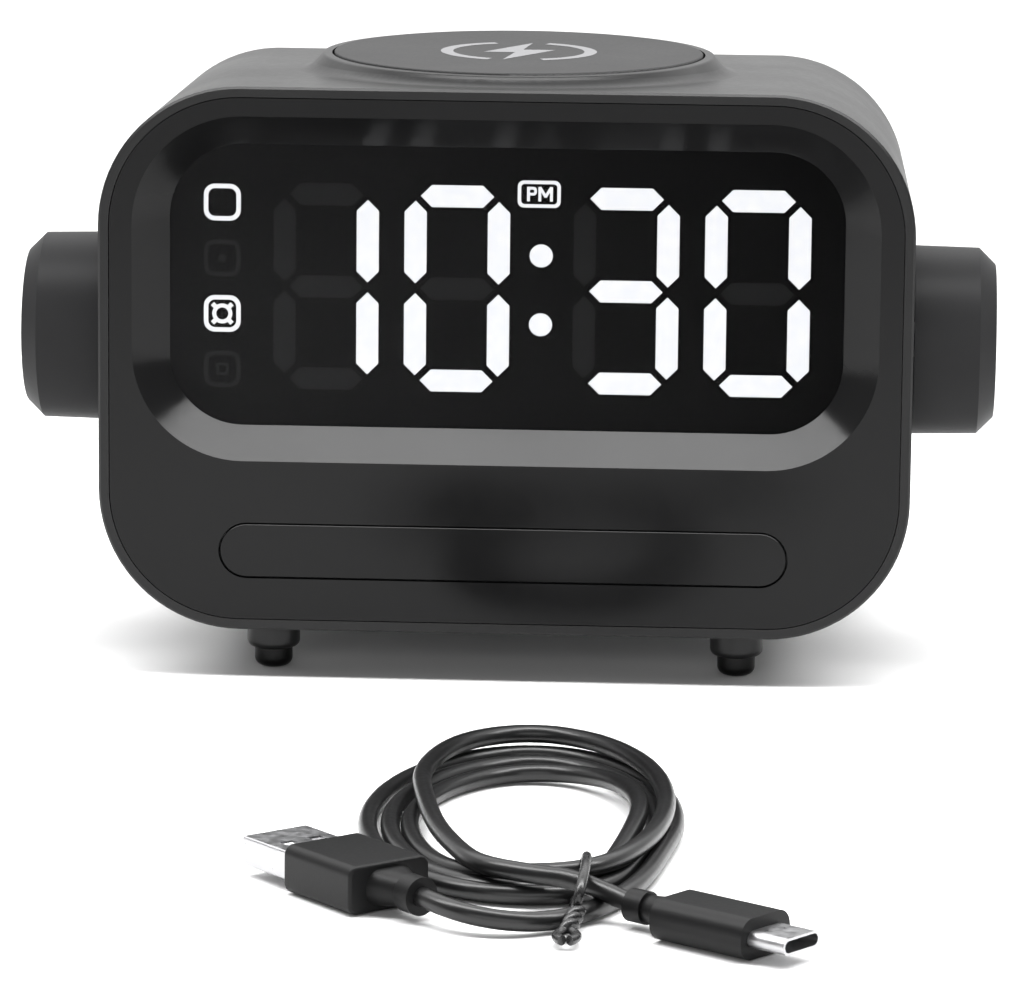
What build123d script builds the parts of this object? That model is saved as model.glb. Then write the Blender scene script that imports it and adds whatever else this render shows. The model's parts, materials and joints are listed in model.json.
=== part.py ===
from build123d import *

import os
from math import cos, radians, sin, tan

# Bedside alarm clock: a moulded housing with a glossy front panel, a numeric display,
# a knob on each side, a snooze bar, a charging pad on top and a loose USB lead.
# Millimetres. X is the viewer's right, +Z is up and the front faces -Y. The origin is
# under the middle of the clock, on the surface it stands on.

# ---- driving dimensions -------------------------------------------------------------
BODY_W = 140.0
BODY_H = 94.6
BODY_D = 86.0
CORNER_R = 24.4
FOOT_H = 8.5
TOP_SLOPE = 0.035          # the top falls gently towards the back
SIDE_SLOPE = 0.009
BOTTOM_SLOPE = 0.012
WALL = 2.4
RIM = 1.8                  # width of the housing's front edge around the panel
REAR_EDGE_R = 4.0
SEAM = 0.15

PANEL_T = 2.4
RECESS_W = 128.3
RECESS_H = 59.8
RECESS_R = 19.0
RECESS_Z = 68.1
RECESS_DEPTH = 5.4
WINDOW_W = 116.2
WINDOW_H = 49.0
WINDOW_R = 12.6
FUNNEL_T = 1.6
LENS_T = 1.4
LENS_LAP = 1.6

DIGIT_W = 18.2
DIGIT_H = 36.0
SEGMENT_W = 3.84
SEGMENT_GAP = 0.86
DIGIT_Z = 67.8
DIGIT_PITCH = 22.6
LEFT_PAIR_X = -31.25       # centre of the first digit
RIGHT_PAIR_X = 20.5        # centre of the third digit
COLON_X = 5.85
COLON_GAP = 12.0
COLON_R = 2.0
ICON_X = -49.2
ICON_TOP_Z = 82.2
ICON_PITCH = 9.7
ICON_SIZE = 6.4
ICON_LINE = 0.78

SNOOZE_W = 98.0
SNOOZE_H = 9.4
SNOOZE_Z = 22.5
SNOOZE_GAP = 0.2

KNOB_R = 16.45
KNOB_TIP_R = 16.2
KNOB_CHAMFER = 2.9
KNOB_INNER_X = 70.25
KNOB_OUTER_X = 84.4
KNOB_DEPTH = 21.5          # axis behind the front face
KNOB_Z = 58.0
KNOB_WALL = 2.2
SHAFT_R = 3.0
SHAFT_CLEARANCE = 0.05
KNOB_HOLE_R = 4.4

PAD_DEPTH = 41.5           # centre behind the front face
PAD_R = 32.6
PAD_TOP_Z = 105.0
LIP_Z = 104.7
LIP_R = 34.5
PAD_SEAT_R = 33.0
PAD_SEAT_Z = 102.4
PAD_OPENING_R = 29.5

COVER_W = 108.0
COVER_H = 70.0
COVER_Z = 52.5
COVER_T = 2.0
COVER_LEDGE = 7.0
COVER_SCREW_INSET = 5.0

FOOT_X = 40.5
FRONT_FOOT_DEPTH = 11.0
REAR_FOOT_DEPTH = 74.0
FOOT_R = 4.6
FOOT_TIP_R = 3.3
FOOT_TIP_H = 3.4

BOARD_T = 1.6
MAIN_BOARD_Z = 19.0        # underside of the main board
USB_X = 20.0
POST_PITCH_X = 76.0         # the four screws of the main board
POST_PITCH_Y = 58.0
POST_DEPTH = 44.0

CABLE_D = 3.0
COIL_X = 8.3
COIL_Y = -145.5
COIL_RX = 26.5
COIL_RY = 46.5
COIL_BAND = 12.0
COIL_HOLE_X = 2.0
COIL_HOLE_Y = -2.0
COIL_H = 8.0

FRONT_Y = -BODY_D / 2
REAR_Y = BODY_D / 2
BODY_MID_Z = FOOT_H + BODY_H / 2
PAD_Y = FRONT_Y + PAD_DEPTH
KNOB_Y = FRONT_Y + KNOB_DEPTH
LENS_DEPTH = RECESS_DEPTH
MODULE_DEPTH = LENS_DEPTH + LENS_T + 0.1
MAIN_BOARD_TOP = MAIN_BOARD_Z + BOARD_T
USB_Z = MAIN_BOARD_TOP + 1.7
POST_Y = FRONT_Y + POST_DEPTH

os.makedirs("parts", exist_ok=True)


def save(piece, label):
    """Name a finished piece and write its STEP file."""
    piece.label = label
    export_step(piece, f"parts/{label}.step")


def front_plane(depth):
    """Upright plane that faces the viewer, this far behind the front face."""
    return Plane.XZ.offset(-(FRONT_Y + depth))


def side_plane(x):
    """Upright plane at x, whose local x is Y and local y is Z."""
    return Plane.YZ.offset(x)


def tapered_sketch(depth, inset, shrink_r):
    """Rounded outline of the body at a depth, moved in by inset."""
    top = FOOT_H + BODY_H - TOP_SLOPE * depth - inset
    bottom = FOOT_H + BOTTOM_SLOPE * depth + inset
    width = BODY_W - 2 * SIDE_SLOPE * depth - 2 * inset
    with BuildSketch(front_plane(depth)) as outline:
        with Locations((0, (top + bottom) / 2)):
            RectangleRounded(width, top - bottom, CORNER_R - shrink_r)
    return outline.sketch


# ---- housing ------------------------------------------------------------------------
FRONT_CHAMFER = 0.4
BOSS_BASE_DROP = 7.0
BOSS_FILLET = 3.6
BOSS_FLARE = 42             # degrees from upright
LEDGE_T = 2.0
POST_H = 9.0
PILOT_R = 1.1
USB_NOTCH_W = 12.0
USB_NOTCH_H = 5.4
BOARD_POST_R = 2.6
BOARD_PILOT_R = 1.0
CAVITY_REAR = BODY_D - WALL
SCREW_POST_R = 3.2
screw_x = COVER_W / 2 - COVER_SCREW_INSET
screw_z = COVER_H / 2 - COVER_SCREW_INSET

body_shape = loft(
    [
        tapered_sketch(0, FRONT_CHAMFER, FRONT_CHAMFER),
        tapered_sketch(FRONT_CHAMFER, 0, 0),
        tapered_sketch(BODY_D, 0, 1.0),
    ],
    ruled=True,
)
cavity_shape = loft(
    [tapered_sketch(PANEL_T, WALL, WALL), tapered_sketch(CAVITY_REAR, WALL, WALL + 1.0)],
    ruled=True,
)

with BuildPart() as main_housing:
    add(body_shape)
    fillet(main_housing.edges().group_by(Axis.Y)[-1], REAR_EDGE_R)
    # charging pad boss: a short cone that flares into the top
    with BuildSketch(Plane.XY.offset(LIP_Z)):
        with Locations((0, PAD_Y)):
            Circle(LIP_R)
    extrude(amount=-BOSS_BASE_DROP, taper=-BOSS_FLARE)
    base_ring = main_housing.edges().filter_by(
        lambda e: e.geom_type != GeomType.LINE
        and 98 < e.center().Z < LIP_Z - 0.5
        and e.length > 60
    )
    fillet(base_ring, BOSS_FILLET)
    fillet(main_housing.edges().group_by(Axis.Z)[-1], 0.6)
    # hollow inside, open at the front
    add(cavity_shape, mode=Mode.SUBTRACT)
    with BuildSketch(front_plane(0)):
        with Locations((0, BODY_MID_Z)):
            RectangleRounded(BODY_W - 2 * RIM, BODY_H - 2 * RIM, CORNER_R - RIM)
    extrude(amount=-PANEL_T, mode=Mode.SUBTRACT)
    # seat and opening for the charging pad
    with BuildSketch(Plane.XY.offset(LIP_Z)):
        with Locations((0, PAD_Y)):
            Circle(PAD_SEAT_R)
    extrude(amount=PAD_SEAT_Z - LIP_Z, mode=Mode.SUBTRACT)
    with BuildSketch(Plane.XY.offset(LIP_Z)):
        with Locations((0, PAD_Y)):
            Circle(PAD_OPENING_R)
    extrude(amount=-10, mode=Mode.SUBTRACT)
    # shaft holes in both sides
    with BuildSketch(side_plane(-BODY_W)):
        with Locations((KNOB_Y, KNOB_Z)):
            Circle(KNOB_HOLE_R)
    extrude(amount=2 * BODY_W, mode=Mode.SUBTRACT)
    # rear cover seat and opening
    with BuildSketch(front_plane(BODY_D)):
        with Locations((0, COVER_Z)):
            RectangleRounded(COVER_W, COVER_H, 8)
    extrude(amount=COVER_T, mode=Mode.SUBTRACT)
    with BuildSketch(front_plane(BODY_D)):
        with Locations((0, COVER_Z)):
            RectangleRounded(COVER_W - 2 * COVER_LEDGE, COVER_H - 2 * COVER_LEDGE, 4)
    extrude(amount=WALL + 4, mode=Mode.SUBTRACT)
    # ledge ring behind the cover, with screw posts
    with BuildSketch(front_plane(BODY_D - COVER_T)):
        with Locations((0, COVER_Z)):
            RectangleRounded(COVER_W + 2, COVER_H + 2, 9)
            RectangleRounded(COVER_W - 2 * COVER_LEDGE, COVER_H - 2 * COVER_LEDGE, 4, mode=Mode.SUBTRACT)
    extrude(amount=LEDGE_T)
    with BuildSketch(front_plane(BODY_D - COVER_T)):
        with Locations((0, COVER_Z)):
            with GridLocations(2 * screw_x, 2 * screw_z, 2, 2):
                Circle(SCREW_POST_R)
    extrude(amount=POST_H)
    with BuildSketch(front_plane(BODY_D - COVER_T)):
        with Locations((0, COVER_Z)):
            with GridLocations(2 * screw_x, 2 * screw_z, 2, 2):
                Circle(PILOT_R)
    extrude(amount=POST_H - 1, mode=Mode.SUBTRACT)
    # way through the ledge for the USB socket
    with BuildSketch(front_plane(BODY_D - COVER_T)):
        with Locations((USB_X, USB_Z)):
            Rectangle(USB_NOTCH_W, USB_NOTCH_H)
    extrude(amount=6, mode=Mode.SUBTRACT)
    # posts that carry the main board
    with BuildSketch(Plane.XY.offset(MAIN_BOARD_Z)):
        with Locations((0, POST_Y)):
            with GridLocations(POST_PITCH_X, POST_PITCH_Y, 2, 2):
                Circle(BOARD_POST_R)
    extrude(amount=-(MAIN_BOARD_Z - FOOT_H - 1.6))
    with BuildSketch(Plane.XY.offset(MAIN_BOARD_Z)):
        with Locations((0, POST_Y)):
            with GridLocations(POST_PITCH_X, POST_PITCH_Y, 2, 2):
                Circle(BOARD_PILOT_R)
    extrude(amount=-6, mode=Mode.SUBTRACT)
save(main_housing.part, "main_housing")

# ---- front panel --------------------------------------------------------------------
panel_w = BODY_W - 2 * RIM - 2 * SEAM
panel_h = BODY_H - 2 * RIM - 2 * SEAM


def opening_loft(depth_a, depth_b, grow):
    """Sloping display recess between two depths, grown sideways by grow."""
    outlines = []
    for depth in (depth_a, depth_b):
        share = depth / RECESS_DEPTH
        width = RECESS_W + (WINDOW_W - RECESS_W) * share + 2 * grow
        height = RECESS_H + (WINDOW_H - RECESS_H) * share + 2 * grow
        radius = RECESS_R + (WINDOW_R - RECESS_R) * share + grow
        with BuildSketch(front_plane(depth)) as outline:
            with Locations((0, RECESS_Z)):
                RectangleRounded(width, height, radius)
        outlines.append(outline.sketch)
    return loft(outlines, ruled=True)


funnel_outside = opening_loft(PANEL_T - 0.8, RECESS_DEPTH, FUNNEL_T)
funnel_inside = opening_loft(-0.5, RECESS_DEPTH + 0.5, 0)

with BuildPart() as front_panel:
    with BuildSketch(front_plane(0)):
        with Locations((0, BODY_MID_Z)):
            RectangleRounded(panel_w, panel_h, CORNER_R - RIM - SEAM)
    extrude(amount=-PANEL_T)
    add(funnel_outside)
    add(funnel_inside, mode=Mode.SUBTRACT)
    with BuildSketch(front_plane(0)):
        with Locations((0, SNOOZE_Z)):
            SlotOverall(SNOOZE_W + 2 * SNOOZE_GAP, SNOOZE_H + 2 * SNOOZE_GAP)
    extrude(amount=-PANEL_T, mode=Mode.SUBTRACT)
save(front_panel.part, "front_panel")

with BuildPart() as display_lens:
    with BuildSketch(front_plane(LENS_DEPTH)):
        with Locations((0, RECESS_Z)):
            RectangleRounded(WINDOW_W + 2 * LENS_LAP, WINDOW_H + 2 * LENS_LAP, WINDOW_R + LENS_LAP)
    extrude(amount=-LENS_T)
save(display_lens.part, "display_lens")

# ---- snooze bar ---------------------------------------------------------------------
FLANGE_LAP = 2.0
BAR_POST_R = 2.0
PLUNGER_DEPTH = 6.2

with BuildPart() as snooze_bar:
    with BuildSketch(front_plane(0)):
        with Locations((0, SNOOZE_Z)):
            SlotOverall(SNOOZE_W, SNOOZE_H)
    extrude(amount=-(PANEL_T + 0.2))
    chamfer(snooze_bar.edges().group_by(Axis.Y)[0], 0.2)
    with BuildSketch(front_plane(PANEL_T + 0.1)):
        with Locations((0, SNOOZE_Z)):
            SlotOverall(SNOOZE_W + 2 * FLANGE_LAP, SNOOZE_H + 2 * FLANGE_LAP)
    extrude(amount=-1.0)
    with BuildSketch(front_plane(PANEL_T + 0.1)):
        with Locations((0, SNOOZE_Z)):
            Circle(BAR_POST_R)
    extrude(amount=-(PLUNGER_DEPTH - PANEL_T - 0.1))
save(snooze_bar.part, "snooze_bar")

with BuildPart() as snooze_switch:
    with BuildSketch(front_plane(7.4)):
        with Locations((0, MAIN_BOARD_TOP + 1.95)):
            Rectangle(6.2, 3.9)
            Circle(1.55, mode=Mode.SUBTRACT)
    extrude(amount=-3.2)
    with BuildSketch(front_plane(10.6)):
        with Locations((0, MAIN_BOARD_TOP + 1.95)):
            Rectangle(6.2, 3.9)
    extrude(amount=-1.2)
save(snooze_switch.part, "snooze_switch")

with BuildPart() as snooze_plunger:
    with BuildSketch(front_plane(PLUNGER_DEPTH)):
        with Locations((0, MAIN_BOARD_TOP + 1.95)):
            Circle(1.5)
    extrude(amount=-3.2)
save(snooze_plunger.part, "snooze_plunger")

# ---- display module -----------------------------------------------------------------
MODULE_W = 117.0
MODULE_H = 50.4
MODULE_R = 12.0
DISPLAY_BOARD_W = 112.0
DISPLAY_BOARD_H = 46.0
MODULE_T = 8.0
LIGHT_GUIDE_T = 2.0
PIPE_R = 0.35

half_x = (DIGIT_W - SEGMENT_W) / 2
half_z = (DIGIT_H - SEGMENT_W) / 2
# segment letters clockwise from the top, with the middle bar last
SEGMENT_ENDS = {
    "a": ((-half_x, half_z), (half_x, half_z)),
    "b": ((half_x, half_z), (half_x, 0)),
    "c": ((half_x, 0), (half_x, -half_z)),
    "d": ((-half_x, -half_z), (half_x, -half_z)),
    "e": ((-half_x, 0), (-half_x, -half_z)),
    "f": ((-half_x, half_z), (-half_x, 0)),
    "g": ((-half_x, 0), (half_x, 0)),
}
DIGITS = {
    LEFT_PAIR_X: "bc",
    LEFT_PAIR_X + DIGIT_PITCH: "abcdef",
    RIGHT_PAIR_X: "abcdg",
    RIGHT_PAIR_X + DIGIT_PITCH: "abcdef",
}


def segment(digit_x, letter):
    """Pointed bar between two corners of a digit."""
    (x1, z1), (x2, z2) = SEGMENT_ENDS[letter]
    half = SEGMENT_W / 2
    if z1 == z2:
        left = digit_x + min(x1, x2) + SEGMENT_GAP
        right = digit_x + max(x1, x2) - SEGMENT_GAP
        z = DIGIT_Z + z1
        points = [(left, z), (left + half, z + half), (right - half, z + half)]
        points += [(right, z), (right - half, z - half), (left + half, z - half)]
    else:
        x = digit_x + x1
        low = DIGIT_Z + min(z1, z2) + SEGMENT_GAP
        high = DIGIT_Z + max(z1, z2) - SEGMENT_GAP
        points = [(x, low), (x + half, low + half), (x + half, high - half)]
        points += [(x, high), (x - half, high - half), (x - half, low + half)]
    Polygon(*points, align=None)


def digit_group(lit):
    """Every lit, or every unlit, segment of the four digits."""
    for digit_x, shown in DIGITS.items():
        for letter in "abcdefg":
            if (letter in shown) == lit:
                segment(digit_x, letter)


def icon_frame(z):
    """Square ring with rounded corners around a status symbol."""
    with Locations((ICON_X, z)):
        RectangleRounded(ICON_SIZE, ICON_SIZE, 1.9)
        RectangleRounded(ICON_SIZE - 2 * ICON_LINE, ICON_SIZE - 2 * ICON_LINE, 1.2, mode=Mode.SUBTRACT)


def bell_symbol(z):
    """Small round clock with four stubs, for the alarm."""
    with Locations((ICON_X, z)):
        Circle(1.75)
        with PolarLocations(1.95, 4, start_angle=45):
            Rectangle(0.9, 0.8)
        Circle(1.05, mode=Mode.SUBTRACT)


def dot_symbol(z):
    with Locations((ICON_X, z)):
        Circle(0.7)


def box_symbol(z):
    """Small square ring."""
    with Locations((ICON_X, z)):
        RectangleRounded(2.2, 2.2, 0.5)
        RectangleRounded(1.2, 1.2, 0.3, mode=Mode.SUBTRACT)


def pm_frame():
    """Rounded frame round the two letters."""
    with Locations((PM_X, PM_Z)):
        RectangleRounded(PM_W, PM_H, 1.1)
        RectangleRounded(PM_W - 2 * PM_LINE, PM_H - 2 * PM_LINE, 0.6, mode=Mode.SUBTRACT)


def pm_letters():
    letter_p(PM_X - 1.25, PM_Z)
    letter_m(PM_X + 1.1, PM_Z)


def letter_p(x, z):
    """Capital P drawn from strokes, 2.3 mm high."""
    with Locations((x - 0.6, z)):
        Rectangle(0.5, 2.5)
    with Locations((x, z + 0.5)):
        RectangleRounded(1.7, 1.5, 0.6)
        RectangleRounded(0.75, 0.55, 0.2, mode=Mode.SUBTRACT)


def letter_m(x, z):
    """Capital M drawn from strokes."""
    for side in (-1, 1):
        with Locations((x + side * 1.0, z)):
            Rectangle(0.5, 2.5)
        with Locations((x + side * 0.48, z + 0.35)):
            Rectangle(0.5, 2.0, rotation=side * -32)


PM_X = 5.4
PM_Z = 84.5
PM_W = 7.4
PM_H = 4.7
PM_LINE = 0.6
ICON_Z = [ICON_TOP_Z - ICON_PITCH * index for index in range(4)]

with BuildPart() as lit_segments:
    with BuildSketch(front_plane(MODULE_DEPTH)):
        digit_group(True)
    extrude(amount=-LIGHT_GUIDE_T)
save(lit_segments.part, "lit_segments")

with BuildPart() as unlit_segments:
    with BuildSketch(front_plane(MODULE_DEPTH)):
        digit_group(False)
    extrude(amount=-LIGHT_GUIDE_T)
save(unlit_segments.part, "unlit_segments")

with BuildPart() as colon_dots:
    with BuildSketch(front_plane(MODULE_DEPTH)):
        with Locations((COLON_X, DIGIT_Z)):
            with GridLocations(1, COLON_GAP, 1, 2):
                Circle(COLON_R)
    extrude(amount=-LIGHT_GUIDE_T)
save(colon_dots.part, "colon_dots")

with BuildPart() as lit_icons:
    with BuildSketch(front_plane(MODULE_DEPTH)):
        icon_frame(ICON_Z[0])
    with BuildSketch(front_plane(MODULE_DEPTH)):
        icon_frame(ICON_Z[2])
        bell_symbol(ICON_Z[2])
    extrude(amount=-LIGHT_GUIDE_T)
save(lit_icons.part, "lit_icons")

with BuildPart() as unlit_icons:
    with BuildSketch(front_plane(MODULE_DEPTH)):
        icon_frame(ICON_Z[1])
        dot_symbol(ICON_Z[1])
    with BuildSketch(front_plane(MODULE_DEPTH)):
        icon_frame(ICON_Z[3])
        box_symbol(ICON_Z[3])
    extrude(amount=-LIGHT_GUIDE_T)
save(unlit_icons.part, "unlit_icons")

with BuildPart() as pm_icon:
    with BuildSketch(front_plane(MODULE_DEPTH)):
        pm_frame()
    with BuildSketch(front_plane(MODULE_DEPTH)):
        pm_letters()
    extrude(amount=-LIGHT_GUIDE_T)
save(pm_icon.part, "pm_icon")

with BuildPart() as display_block:
    with BuildSketch(front_plane(MODULE_DEPTH)):
        with Locations((0, RECESS_Z)):
            RectangleRounded(MODULE_W, MODULE_H, MODULE_R)
    extrude(amount=-MODULE_T)
    # light wells, one for each segment and dot, and thin light pipes to the symbols
    with BuildSketch(front_plane(MODULE_DEPTH)):
        digit_group(True)
        digit_group(False)
        with Locations((COLON_X, DIGIT_Z)):
            with GridLocations(1, COLON_GAP, 1, 2):
                Circle(COLON_R)
        for icon_z in ICON_Z:
            with Locations((ICON_X, icon_z)):
                with PolarLocations((ICON_SIZE - ICON_LINE) / 2, 4):
                    Circle(PIPE_R)
        with Locations((PM_X, PM_Z)):
            with GridLocations(PM_W - PM_LINE, 1, 2, 1):
                Circle(PIPE_R - 0.1)
    extrude(amount=-MODULE_T, mode=Mode.SUBTRACT)
    # shallow pockets that hold the light guides of the small symbols
    with BuildSketch(front_plane(MODULE_DEPTH)):
        for icon_z in ICON_Z:
            icon_frame(icon_z)
        pm_frame()
    with BuildSketch(front_plane(MODULE_DEPTH)):
        bell_symbol(ICON_Z[2])
        box_symbol(ICON_Z[3])
        pm_letters()
    with BuildSketch(front_plane(MODULE_DEPTH)):
        dot_symbol(ICON_Z[1])
    extrude(amount=-LIGHT_GUIDE_T, mode=Mode.SUBTRACT)
    # room at the back for the lights under the symbols
    with BuildSketch(front_plane(MODULE_DEPTH + MODULE_T)):
        with Locations(*[(ICON_X, icon_z) for icon_z in ICON_Z]):
            Rectangle(ICON_SIZE - 0.4, ICON_SIZE - 0.4)
        with Locations((PM_X, PM_Z)):
            Rectangle(PM_W, PM_H - 1)
    extrude(amount=1.2, mode=Mode.SUBTRACT)
save(display_block.part, "display_block")

BOARD_DEPTH = MODULE_DEPTH + MODULE_T
with BuildPart() as display_board:
    with BuildSketch(front_plane(BOARD_DEPTH)):
        with Locations((0, RECESS_Z)):
            RectangleRounded(DISPLAY_BOARD_W, DISPLAY_BOARD_H, 3)
    extrude(amount=-BOARD_T)
save(display_board.part, "display_board")

led_spots = []
for digit_x in DIGITS:
    for (x1, z1), (x2, z2) in SEGMENT_ENDS.values():
        led_spots.append((digit_x + (x1 + x2) / 2, DIGIT_Z + (z1 + z2) / 2))
led_spots += [(COLON_X, DIGIT_Z + side * COLON_GAP / 2) for side in (-1, 1)]
led_spots += [(ICON_X, icon_z) for icon_z in ICON_Z]
led_spots.append((PM_X, PM_Z))
with BuildPart() as display_leds:
    with BuildSketch(front_plane(BOARD_DEPTH)):
        with Locations(*led_spots):
            Rectangle(1.6, 0.8)
    extrude(amount=0.7)
save(display_leds.part, "display_leds")

with BuildPart() as display_driver:
    with BuildSketch(front_plane(BOARD_DEPTH + BOARD_T)):
        with Locations((10, RECESS_Z)):
            Rectangle(10, 7.5)
    extrude(amount=-1.6)
save(display_driver.part, "display_driver")

# ---- knobs and encoders -------------------------------------------------------------
ENCODER_INNER_X = 59.0
ENCODER_OUTER_X = 64.8
BUSH_OUTER_X = 67.0
ENCODER_BOARD_W = 12.8
ENCODER_BOARD_H = 26.0
ENCODER_BOARD_T = 1.2
SHAFT_INNER_X = 60.0
SHAFT_OUTER_X = 80.4
HUB_R = 5.4
HUB_INNER_X = 70.8


def axis_at_knob():
    return Axis((0, KNOB_Y, KNOB_Z), (1, 0, 0))


for side, side_name in ((-1, "left"), (1, "right")):
    knob_plane = Plane(origin=(0, KNOB_Y, KNOB_Z), x_dir=(side, 0, 0), z_dir=(0, -side, 0))

    with BuildPart() as knob:
        with BuildSketch(knob_plane):
            Polygon(
                (KNOB_INNER_X, KNOB_R - KNOB_WALL),
                (KNOB_INNER_X, KNOB_R),
                (KNOB_OUTER_X - KNOB_CHAMFER, KNOB_TIP_R),
                (KNOB_OUTER_X, KNOB_TIP_R - KNOB_CHAMFER),
                (KNOB_OUTER_X, 0),
                (SHAFT_OUTER_X, 0),
                (SHAFT_OUTER_X, SHAFT_R),
                (HUB_INNER_X, SHAFT_R),
                (HUB_INNER_X, HUB_R),
                (KNOB_OUTER_X - KNOB_WALL, HUB_R),
                (KNOB_OUTER_X - KNOB_WALL, KNOB_TIP_R - KNOB_CHAMFER - 0.6),
                (KNOB_OUTER_X - KNOB_CHAMFER - 0.8, KNOB_TIP_R - KNOB_WALL),
                align=None,
            )
        revolve(axis=axis_at_knob())
        rim_edges = knob.edges().filter_by(lambda e: abs(e.center().X) > KNOB_OUTER_X - 0.05)
        fillet(rim_edges, 0.5)
    save(knob.part, f"{side_name}_knob")

    with BuildPart() as encoder_shaft:
        with BuildSketch(side_plane(side * SHAFT_INNER_X)):
            with Locations((KNOB_Y, KNOB_Z)):
                Circle(SHAFT_R)
        extrude(amount=side * (SHAFT_OUTER_X - SHAFT_INNER_X))
    save(encoder_shaft.part, f"{side_name}_encoder_shaft")

    with BuildPart() as encoder_body:
        with BuildSketch(side_plane(side * ENCODER_INNER_X)):
            with Locations((KNOB_Y, KNOB_Z)):
                Rectangle(12.4, 11.8)
        extrude(amount=side * (ENCODER_OUTER_X - ENCODER_INNER_X))
        with BuildSketch(side_plane(side * ENCODER_OUTER_X)):
            with Locations((KNOB_Y, KNOB_Z)):
                Circle(4.2)
        extrude(amount=side * (BUSH_OUTER_X - ENCODER_OUTER_X))
        with BuildSketch(side_plane(side * (SHAFT_INNER_X - 0.2))):
            with Locations((KNOB_Y, KNOB_Z)):
                Circle(SHAFT_R + SHAFT_CLEARANCE)
        extrude(amount=side * 10, mode=Mode.SUBTRACT)
    save(encoder_body.part, f"{side_name}_encoder_body")

    with BuildPart() as encoder_board:
        with BuildSketch(side_plane(side * ENCODER_INNER_X)):
            with Locations((KNOB_Y, KNOB_Z)):
                RectangleRounded(ENCODER_BOARD_W, ENCODER_BOARD_H, 2)
        extrude(amount=-side * ENCODER_BOARD_T)
    save(encoder_board.part, f"{side_name}_encoder_board")

# ---- charging pad -------------------------------------------------------------------
COIL_OUTER_R = 22.0
COIL_INNER_R = 10.0
COPPER_T = 1.3
FERRITE_T = 0.7

with BuildPart() as charging_disc:
    with BuildSketch(Plane.XY.offset(PAD_TOP_Z)):
        with Locations((0, PAD_Y)):
            Circle(PAD_R)
    extrude(amount=PAD_SEAT_Z - PAD_TOP_Z)
    fillet(charging_disc.edges().group_by(Axis.Z)[-1], 0.35)
save(charging_disc.part, "charging_disc")

with BuildPart() as charging_coil:
    with BuildSketch(Plane.XY.offset(PAD_SEAT_Z)):
        with Locations((0, PAD_Y)):
            Circle(COIL_OUTER_R)
            Circle(COIL_INNER_R, mode=Mode.SUBTRACT)
    extrude(amount=-COPPER_T)
save(charging_coil.part, "charging_coil")

with BuildPart() as ferrite_sheet:
    with BuildSketch(Plane.XY.offset(PAD_SEAT_Z - COPPER_T)):
        with Locations((0, PAD_Y)):
            Circle(COIL_OUTER_R + 1.5)
    extrude(amount=-FERRITE_T)
save(ferrite_sheet.part, "ferrite_sheet")

CHARGER_TOP = PAD_SEAT_Z - COPPER_T - FERRITE_T
with BuildPart() as charger_board:
    with BuildSketch(Plane.XY.offset(CHARGER_TOP)):
        with Locations((0, PAD_Y)):
            RectangleRounded(44, 34, 2)
    extrude(amount=-BOARD_T)
save(charger_board.part, "charger_board")

with BuildPart() as charger_parts:
    with BuildSketch(Plane.XY.offset(CHARGER_TOP - BOARD_T)):
        with Locations((-8, PAD_Y)):
            Rectangle(6, 6)
        with Locations((6, PAD_Y + 4), (6, PAD_Y - 5), (14, PAD_Y)):
            Rectangle(4.6, 3.4)
    extrude(amount=-1.6)
save(charger_parts.part, "charger_parts")

# ---- rear cover, sound and power ----------------------------------------------------
SPEAKER_X = -26.0
SPEAKER_Z = 56.0
SPEAKER_R = 14.0
USB_SLOT_W = 9.6
USB_SLOT_H = 4.0

with BuildPart() as rear_cover:
    with BuildSketch(front_plane(BODY_D)):
        with Locations((0, COVER_Z)):
            RectangleRounded(COVER_W - 0.4, COVER_H - 0.4, 7.8)
    extrude(amount=COVER_T)
    with BuildSketch(front_plane(BODY_D)):
        with Locations((SPEAKER_X, SPEAKER_Z)):
            Circle(1.0)
            with PolarLocations(4.0, 6):
                Circle(1.0)
            with PolarLocations(8.0, 12):
                Circle(1.0)
        with Locations((USB_X, USB_Z)):
            SlotOverall(USB_SLOT_W, USB_SLOT_H)
    extrude(amount=COVER_T, mode=Mode.SUBTRACT)
    with BuildSketch(front_plane(BODY_D)):
        with Locations((0, COVER_Z)):
            with GridLocations(2 * screw_x, 2 * screw_z, 2, 2):
                Circle(1.45)
    extrude(amount=COVER_T, mode=Mode.SUBTRACT)
    with BuildSketch(front_plane(BODY_D)):
        with Locations((0, COVER_Z)):
            with GridLocations(2 * screw_x, 2 * screw_z, 2, 2):
                Circle(2.7)
    extrude(amount=1.1, mode=Mode.SUBTRACT)
save(rear_cover.part, "rear_cover")

with BuildPart() as cover_screws:
    with BuildSketch(front_plane(BODY_D - 0.1)):
        with Locations((0, COVER_Z)):
            with GridLocations(2 * screw_x, 2 * screw_z, 2, 2):
                Circle(2.5)
    extrude(amount=1.0)
    with BuildSketch(front_plane(BODY_D - 1.1)):
        with Locations((0, COVER_Z)):
            with GridLocations(2 * screw_x, 2 * screw_z, 2, 2):
                Circle(1.1)
    extrude(amount=7.5)
    # cross recess in each head
    with BuildSketch(front_plane(BODY_D - 0.1)):
        with Locations((0, COVER_Z)):
            with GridLocations(2 * screw_x, 2 * screw_z, 2, 2):
                Rectangle(2.6, 0.55)
                Rectangle(0.55, 2.6)
    extrude(amount=0.7, mode=Mode.SUBTRACT)
save(cover_screws.part, "cover_screws")

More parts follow.
